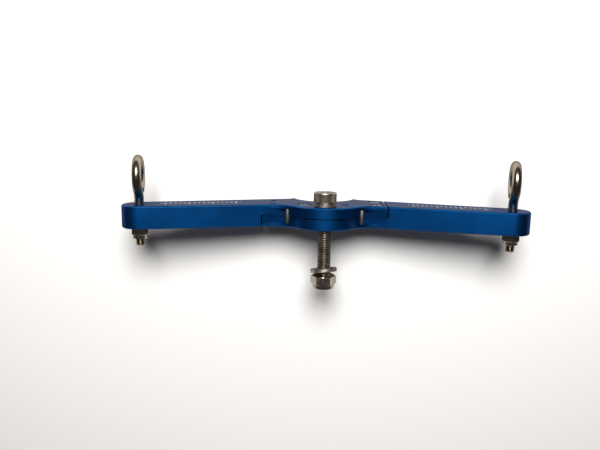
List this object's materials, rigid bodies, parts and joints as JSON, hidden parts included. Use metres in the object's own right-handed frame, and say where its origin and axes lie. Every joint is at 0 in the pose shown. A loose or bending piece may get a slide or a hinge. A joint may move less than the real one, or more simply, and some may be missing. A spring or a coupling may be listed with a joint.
{
  "type": "spreader yoke with eye bolts",
  "caption": "Flat boomerang-shaped metal yoke in two lapped halves, with a swivelling eye at each tip, a clamping bolt in the hub and a half-round saddle behind it.",
  "frame": {"origin": "on the saddle's axis, at the middle of the yoke's thickness", "axes": "+X along the span towards the right arm, +Y along the saddle's axis towards the bolt head and the eyes, +Z from the saddle towards the bulged front edge"},
  "size_m": [0.1766, 0.0586, 0.0397],
  "materials": {
    "blue_anodised": "satin blue anodising",
    "stainless_steel": "plain stainless steel, as formed",
    "polished_steel": "polished stainless steel wire",
    "ground_steel": "ground steel pin",
    "nylon": "moulded nylon"
  },
  "bodies": {
    "yoke": {"left_arm": "blue_anodised", "right_arm": "blue_anodised", "left_strap_pin": "ground_steel", "right_strap_pin": "ground_steel", "upper_screw_hub": "stainless_steel", "upper_screw_front": "stainless_steel", "upper_screw_rear": "stainless_steel", "lower_screw_hub": "stainless_steel", "lower_screw_front": "stainless_steel", "lower_screw_rear": "stainless_steel"},
    "bolt_washer": {"upper_lock_washer": "stainless_steel"},
    "clamp_bolt": {"centre_bolt": "stainless_steel"},
    "loose_washer": {"lower_lock_washer": "stainless_steel"},
    "nut_carrier": {"centre_nut_insert": "nylon"},
    "clamp_nut": {"centre_lock_nut": "stainless_steel"},
    "left_eye": {"left_eye_bolt": "polished_steel", "left_eye_nut": "stainless_steel", "left_eye_nut_insert": "nylon"},
    "right_eye": {"right_eye_bolt": "polished_steel", "right_eye_nut": "stainless_steel", "right_eye_nut_insert": "nylon"}
  },
  "joints": [
    {"name": "bolt_lift", "type": "slide", "parent": "yoke", "child": "bolt_washer", "axis": [0, 1, 0], "range_m": [0, 0.0085]},
    {"name": "bolt_turn", "type": "hinge", "parent": "bolt_washer", "child": "clamp_bolt", "pos_m": [0, 0.0066, 0.0305], "axis": [0, 1, 0], "continuous": true},
    {"name": "nut_travel", "type": "slide", "parent": "clamp_bolt", "child": "nut_carrier", "axis": [0, 1, 0], "range_m": [-0.006, 0.0075]},
    {"name": "nut_turn", "type": "hinge", "parent": "nut_carrier", "child": "clamp_nut", "pos_m": [0, -0.0287, 0.0305], "axis": [0, 1, 0], "range_deg": [-2170, 2710]},
    {"name": "washer_travel", "type": "slide", "parent": "clamp_bolt", "child": "loose_washer", "axis": [0, 1, 0], "range_m": [-0.0061, 0.0076]},
    {"name": "left_eye_swivel", "type": "hinge", "parent": "yoke", "child": "left_eye", "pos_m": [-0.0807, 0, 0.0331], "axis": [0, 1, 0], "continuous": true},
    {"name": "right_eye_swivel", "type": "hinge", "parent": "yoke", "child": "right_eye", "pos_m": [0.0807, 0, 0.0331], "axis": [0, 1, 0], "continuous": true}
  ],
  "couplings": [
    {"joint": "nut_turn", "follows": "nut_travel", "rad_per_m": 6283.2},
    {"joint": "washer_travel", "follows": "nut_travel", "ratio": 1}
  ]
}
